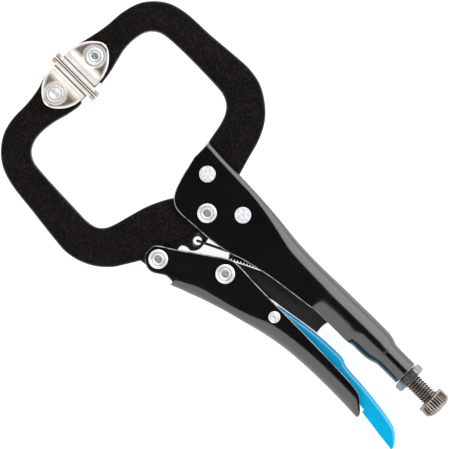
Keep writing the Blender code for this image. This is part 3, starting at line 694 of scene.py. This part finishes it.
def makePad(name, way, pivot, earTop):
    s = padShape
    face = s["meet"] + way * s["halfGap"]
    back = face + way * s["thick"]
    reach = math.degrees(math.asin(s["half"] / s["radius"]))
    right = arcPoints((s["centre"], 0), s["radius"], -reach, reach, 28)
    left = arcPoints((s["centre"], 0), s["radius"], 180 - reach, 180 + reach, 28)
    outline = closedOutline(right, left)
    low, high = min(face, back), max(face, back)
    standing = plateParts(outline, low, high, 0.3, 4)
    parts = [(np.array(points)[..., [0, 2, 1]], faces, 0.0) for points, faces, _ in standing]
    plate = makePiece(name + "_plate", parts, [nickel], name, name, flat=(1, 2))

    # an ear: rows climb its outline and columns cross it; its height above the middle plane falls by the dish
    # past the waist and inside the rim, and by a little at the crease over the plate
    outlineCurve = curveThrough(s["ear"], 10)
    share, width = outlineCurve[:, :1], outlineCurve[:, 1:]
    across = np.sin(np.linspace(-np.pi / 2, np.pi / 2, 41))[None]
    x = s["centre"] - 0.3 + across * width
    y = back - way * 0.25 + (earTop - back + way * 0.25) * share + 0 * across
    climb = (y - back) * way
    inside = np.minimum((1 - np.abs(across)) * width * 0.8, (earTop - y) * way)
    fromPin = np.hypot(x - pivot[0], y - pivot[1])
    waist = (pivot[1] - back) * way
    dish = smooth(waist - 5.2, waist - 2.2, climb) * smooth(0.4, 1.1, inside)
    dish = np.maximum(dish, 1 - smooth(3.2, 4.4, fromPin))
    ring = smooth(3.1, 3.5, fromPin) * smooth(4.3, 3.8, fromPin)
    crease = 1 - smooth(0.25, 0.7, np.abs(climb - 0.1))
    lip = smooth(0.0, 0.35, inside)
    z = s["half"] - 0.05 - s["dish"] * dish + 0.3 * ring * dish - 0.5 * crease - 0.2 * (1 - lip)
    # the tone is painted light: high in the dish and at the crease for painted shade, lower on the raised
    # ring round the pin for a painted highlight
    tone = np.clip(dish * (0.5 + 0.5 * smooth(3.4, 4.6, fromPin)) * (1 - 0.8 * ring) + 1.3 * crease, 0, 1)
    # each row is a loop: across the outside, and back across the inside, which lies the sheet's thickness in
    inner = np.maximum(z - s["sheet"], 3.15)
    up = np.concatenate([np.stack([x, y, z], 2), np.stack([x, y, inner], 2)[:, ::-1]], 1)
    tone = np.concatenate([tone, tone[:, ::-1]], 1)
    ears = []
    for side in (1, -1):
        points, faces, _ = loftedLoop(up * (1, 1, side))
        ears.append((points, faces, tone))
    piece = makePiece(name + "_ears", ears, [nickel], name, name, sharp=50)
    addBevel(piece, 0.12, limit=60)


makePad("upper_pad", 1, (-64.5, 10.7), 16.0)
makePad("lower_pad", -1, (-65.05, -7.7), -12.7)
print("pads made")


# rivets and pins: heads turned on both sides, with a ring and a recessed middle


def headParts(rows, centre, seat):
    # rows are (radius, height, shade) from the middle outward; the head stands on the seat, on both sides
    rows = np.array(rows, float)
    ends = [(rows[-1, 0], seat + 0.02, rows[-1, 2]), (0, seat + 0.02, 0)]
    above = np.vstack([rows, ends])
    below = above * (1, -1, 1)
    return turnedParts(above, centre, 72) + turnedParts(below, centre, 72)


# in ringedRows, coneRows and smallRows the third number is painted light for the zinc heads: low in the
# groove and the recessed middle for painted shade, up to 1 on the ring and the rim for a painted highlight
ringedRows = [
    (0, -0.52, 0.1), (0.5, -0.5, 0.15), (1.0, -0.47, 0.1), (1.3, -0.42, 0.3), (1.48, -0.22, 0.6),
    (1.62, -0.14, 1), (2.0, -0.1, 0.9), (2.12, -0.14, 0.6), (2.2, -0.25, 0.15), (2.32, -0.25, 0.15),
    (2.42, -0.1, 0.8), (2.6, -0.02, 1), (2.85, 0, 1), (3.1, -0.04, 1), (3.25, -0.14, 1), (3.3, -0.3, 0.8),
]


def scaled(rows, radius, top):
    # the same rows with their radius scaled to a new head and their heights measured from its top
    rows = np.array(rows, float)
    return np.stack([rows[:, 0] * radius / rows[-1, 0], rows[:, 1] + top, rows[:, 2]], 1)


flatRows = [
    (0, 0, 0.8), (1.0, 0, 0.8), (2.0, -0.01, 0.8), (2.55, -0.03, 0.8), (2.72, -0.1, 0.8), (2.8, -0.22, 0.7),
]
coneRows = [
    (0, -0.85, 0.3), (0.4, -0.7, 0.5), (1.0, -0.42, 0.45), (1.5, -0.16, 0.6), (1.65, -0.08, 1),
    (2.0, -0.08, 1), (2.15, -0.2, 0.3), (2.3, -0.2, 0.3), (2.4, -0.06, 0.9), (2.6, 0, 1), (2.8, -0.06, 1),
    (2.95, -0.25, 0.9),
]
smallRows = [
    (0, -0.3, 0.5), (0.5, -0.28, 0.6), (0.8, -0.12, 0.8), (1.0, -0.08, 1), (1.3, -0.04, 1), (1.7, 0, 1),
    (1.9, -0.08, 1), (2.0, -0.22, 0.8),
]


def makeHead(node, body, centre, rows, radius, top, seat, material):
    parts = headParts(scaled(rows, radius, top), centre, seat)
    makePiece(node + "_heads", parts, [material], body, node)


makeHead("main_pivot_rivet", "frame", (0, 0), ringedRows, 3.3, 6.2, 5.2, zinc)
makeHead("handle_pivot_rivet", "lower_jaw", (-0.7, -22.7), ringedRows, 3.3, 6.2, 5.1, zinc)
makeHead("link_rivet", "lower_handle", (18.9, -10.2), ringedRows, 3.3, 6.2, 5.1, zinc)
makeHead("jaw_rivet_front", "frame", (-9.3, 9.45), flatRows, 2.8, 5.5, 5.1, whiteHead)
makeHead("jaw_rivet_rear", "frame", (9.05, 8.1), flatRows, 2.8, 5.5, 5.1, whiteHead)
makeHead("lever_rivet", "lower_handle", (41, -8.75), smallRows, 2.0, 5.9, 5.1, zinc)
makeHead("upper_pad_pin", "frame", (-64.5, 10.7), ringedRows, 2.95, 6.2, 4.75, zinc)
makeHead("lower_pad_pin", "lower_jaw", (-65.05, -7.7), coneRows, 2.95, 6.2, 4.75, zinc)
print("rivets made")


# screw, knob and nut, on the screw's line

screwLine = 9.05
screwShape = {
    "pitch": 1.0, "depth": 0.58, "radius": 3.0, "tip": 65.2, "tipRadius": 2.2, "end": 100.4,
    "thread": (65.7, 98.8), "fadeIn": (65.2, 66.4), "fadeOut": (98.6, 97.9),
}


def makeScrew():
    # the radius falls by the thread's depth times a triangle wave of (x less the turn), cut flat at its crest
    # and root; the wave fades out under the knob and at the tip
    s = screwShape

    def wave(angle, x):
        phase = (x / s["pitch"] - angle / (2 * np.pi)) % 1.0
        return np.clip(np.abs(2 * phase - 1) * 1.3 - 0.12, 0, 1)

    def groove(angle, x):
        return s["depth"] * wave(angle, x) * smooth(*s["fadeOut"], x) * smooth(*s["fadeIn"], x)

    along = np.arange(*s["thread"], 0.1)
    taper = np.minimum(s["radius"], s["tipRadius"] + along - s["tip"])
    x = np.concatenate([[s["tip"], s["tip"]], along, [s["end"], s["end"]]])
    r = np.concatenate([[0, s["tipRadius"]], taper, [s["radius"], 0]])
    points, faces, _ = turnedParts(np.stack([r, x, 1 + 0 * x], 1), screwLine, 48, groove, "x")[0]
    angle = np.linspace(0, 2 * np.pi, 48, endpoint=False)[None]
    # the tone paints the thread's groove dark as shade
    tone = 1 - 0.85 * wave(angle, x[:, None]) * smooth(*s["fadeOut"], x[:, None])
    makePiece("adjusting_screw_thread", [(points, faces, tone)], [steel], "adjuster", "adjusting_screw",
              sharp=60)


knobShape = {
    "teeth": 30, "depth": 0.55, "radius": 5.17, "band": (101.6, 98.6),
    "fadeIn": (98.35, 98.75), "fadeOut": (102.35, 101.7),
    "crown": [
        (0, 103.3), (1.5, 103.28), (2.8, 103.12), (3.7, 102.85), (4.3, 102.5), (4.75, 102.1), (5.0, 101.8),
    ],
    "foot": [(5.1, 98.4), (4.95, 98.2), (4.6, 98.03), (3.3, 98.0), (3.3, 100.8), (0, 100.8)],
}


def makeKnob():
    # straight knurl: the radius falls by a rounded wave, which fades at both ends of the band and is left out
    # of the crown's middle and the bore
    s = knobShape
    band = [(s["radius"], x) for x in np.linspace(*s["band"], 14)]
    rows = np.array(s["crown"] + band + s["foot"])
    radius, place = rows[:, :1], rows[:, 1:]
    fade = smooth(*s["fadeIn"], place) * smooth(*s["fadeOut"], place) * (radius > 4)

    def tooth(angle):
        return (0.5 - 0.5 * np.cos(s["teeth"] * angle)) ** 0.7

    def knurl(angle, x):
        return s["depth"] * tooth(angle) * fade

    around = 360
    points, faces, _ = turnedParts(np.hstack([rows, 1 + 0 * radius]), screwLine, around, knurl, "x")[0]
    angle = np.linspace(0, 2 * np.pi, around, endpoint=False)[None]
    # the tone paints the knurl's grooves dark as shade
    tone = 1 - 0.9 * tooth(angle) * fade
    makePiece("adjusting_knob_knurled", [(points, faces, tone)], [steel], "adjuster", "adjusting_knob",
              sharp=60)


nutShape = {
    "corner": 5.5, "bore": 3.2, "face": 4.3, "cone": 4.75, "low": 86.62, "middle": 88.1, "high": 89.58,
}


def makeNut():
    # hexagon: the flat's distance over the cosine of the angle from its middle, and no more than a cone that
    # leaves each end face, which gives the curved chamfers; the bore runs through
    s = nutShape
    corner, low, high = s["corner"], s["low"], s["high"]
    flatDistance = corner * math.cos(math.pi / 6)
    front = np.linspace(low + 0.04, low + 0.48, 8)
    back = np.linspace(high - 0.48, high - 0.04, 8)
    outer = [(corner, x, 0) for x in (low, *front, s["middle"], *back, high)]
    ends = [(s["face"], high, 0), (s["bore"], high, 0), (s["bore"], low, 0)]
    rows = np.array([(s["bore"], low, 0), (s["face"], low, 0), *outer, *ends])

    def hexagon(angle, x):
        part = (angle % (math.pi / 3)) - math.pi / 6
        cone = s["cone"] + 2.0 * np.minimum(x - low, high - x)
        reach = np.minimum(flatDistance / np.cos(part), cone)
        return np.where(rows[:, :1] > 5, corner - np.minimum(reach, corner), 0)

    parts = turnedParts(rows, screwLine, 144, hexagon, "x")
    makePiece("lock_nut_hex", parts, [nutMetal], "lock_nut", "lock_nut", sharp=25)


makeScrew()
makeKnob()
makeNut()
print("screw, knob and nut made")


# return spring: wire carried along a hook, a coil and a second hook


springShape = {"radius": 2.05, "wire": 0.45, "turns": 24, "sides": 12, "rearTab": (43.6, 10.3)}


def makeSpring():
    s = springShape
    radius, wire, turns, sides = s["radius"], s["wire"], s["turns"], s["sides"]
    start = np.array([*springHole, 0.0])
    along = np.array([*s["rearTab"], 0.0]) - start
    length = np.linalg.norm(along)
    along /= length
    across = np.array([-along[1], along[0], 0.0])
    turn = np.linspace(0, 2 * np.pi * turns, turns * 24 + 1)
    coil = np.stack([11.5 + (length - 17) * turn / turn[-1], radius * np.sin(turn), radius * np.cos(turn)], 1)
    hook = curveThrough([(6.0, 0, -radius), (3, 0, -radius), (0.9, 0, -radius), (0.15, 0, -1.5), (0, 0, 0),
                         (0.15, 0, 1.5), (0.9, 0, radius), (3, 0, radius), (7, 0, radius),
                         (10.6, 0, radius)], 6)
    behind = length + 1.2
    tail = curveThrough([(length - 4.6, 0, radius), (length - 1, 0, radius), (behind - 0.8, 0, radius - 0.05),
                         (behind, 0, 1.3), (behind, 0, -1.3), (behind - 0.8, 0, 0.05 - radius),
                         (length - 2, 0, -radius)], 6)
    path = np.vstack([hook, coil, tail])
    ahead = np.gradient(path, axis=0)
    ahead /= np.linalg.norm(ahead, axis=1)[:, None]
    # a reference across the hooks and against the line in the coil keeps the wire's section from flipping
    inCoil = np.r_[np.zeros(len(hook)), np.ones(len(coil)), np.zeros(len(tail))][:, None]
    reference = np.where(inCoil > 0.5, (-1.0, 0, 0), (0, 1.0, 0))
    first = reference - ahead * np.sum(reference * ahead, 1)[:, None]
    first /= np.linalg.norm(first, axis=1)[:, None]
    second = np.cross(ahead, first)
    angle = np.linspace(0, 2 * np.pi, sides, endpoint=False)[None, :, None]
    ring = path[:, None] + wire * (np.cos(angle) * first[:, None] + np.sin(angle) * second[:, None])
    where = start + ring[..., :1] * along + ring[..., 1:2] * across + ring[..., 2:] * (0, 0, 1.0)
    rows = len(path)
    tip = np.arange(sides)
    faces = list(gridFaces(rows, sides)) + [tip[::-1], tip + (rows - 1) * sides]
    piece = makePiece("return_spring_wire", [(where, faces, 0.5)], [wireMetal], None, "return_spring",
                      sharp=60)
    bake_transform(piece)


makeSpring()
print("spring made")


# floor, light and camera


def makeFloor():
    mesh = bpy.data.meshes.new("floor")
    far, low = 2, -0.0004
    corners = [(-far, -far, low), (far, -far, low), (far, far, low), (-far, far, low)]
    mesh.from_pydata(corners, [], [(0, 1, 2, 3)])
    mesh.materials.append(floorPaper())
    floor = bpy.data.objects.new("floor", mesh)
    bpy.context.scene.collection.objects.link(floor)


def softBox(name, place, width, height, radiance, colour):
    # an area light aimed at the tool; its power is radiance times pi times its area
    data = bpy.data.lights.new(name, "AREA")
    data.shape = "RECTANGLE"
    data.size = width
    data.size_y = height
    data.color = colour
    data.energy = radiance * math.pi * width * height
    light = bpy.data.objects.new(name, data)
    light.location = place
    light.rotation_euler = Vector(place).to_track_quat("Z", "Y").to_euler()
    bpy.context.scene.collection.objects.link(light)


def makeLights():
    # each box: where it stands, its width and height, its radiance and colour; the gap between them, straight
    # over the tool, stays dark
    boxes = {
        "light across": ((0.0, 0.585, 0.38), 1.6, 0.86, 2.7, (1.0, 1.0, 1.02)),
        "light near": ((0.0, -0.555, 0.43), 1.6, 1.06, 1.5, (1.03, 1.0, 0.95)),
        "light right": ((0.72, 0.0, 0.36), 0.45, 0.5, 0.9, (1, 1, 1)),
        "light left": ((-0.72, 0.0, 0.36), 0.45, 0.5, 0.9, (1, 1, 1)),
    }
    for name, (place, width, height, radiance, colour) in boxes.items():
        softBox(name, place, width, height, radiance, colour)
    world = bpy.data.worlds.new("room")
    bpy.context.scene.world = world
    world.use_nodes = True
    world.node_tree.nodes["Background"].inputs["Color"].default_value = (1, 1, 1, 1)
    world.node_tree.nodes["Background"].inputs["Strength"].default_value = 0.03


def makeCamera():
    # straight above, turned an eighth of a turn, with a long lens
    view = {"across": 0.153, "distance": 1.4, "centre": (0.0070, 0.0016)}
    data = bpy.data.cameras.new("camera")
    data.sensor_width = 36
    data.lens = 36 * view["distance"] / view["across"]
    data.clip_start = 0.1
    data.clip_end = 20
    camera = bpy.data.objects.new("camera", data)
    camera.location = (*view["centre"], middle * unit + view["distance"])
    camera.rotation_euler = (0, 0, math.radians(45))
    bpy.context.scene.collection.objects.link(camera)
    bpy.context.scene.camera = camera


makeFloor()
makeLights()
makeCamera()
bpy.context.scene.view_settings.view_transform = "Standard"
print("floor, light and camera made")

bpy.context.view_layer.update()
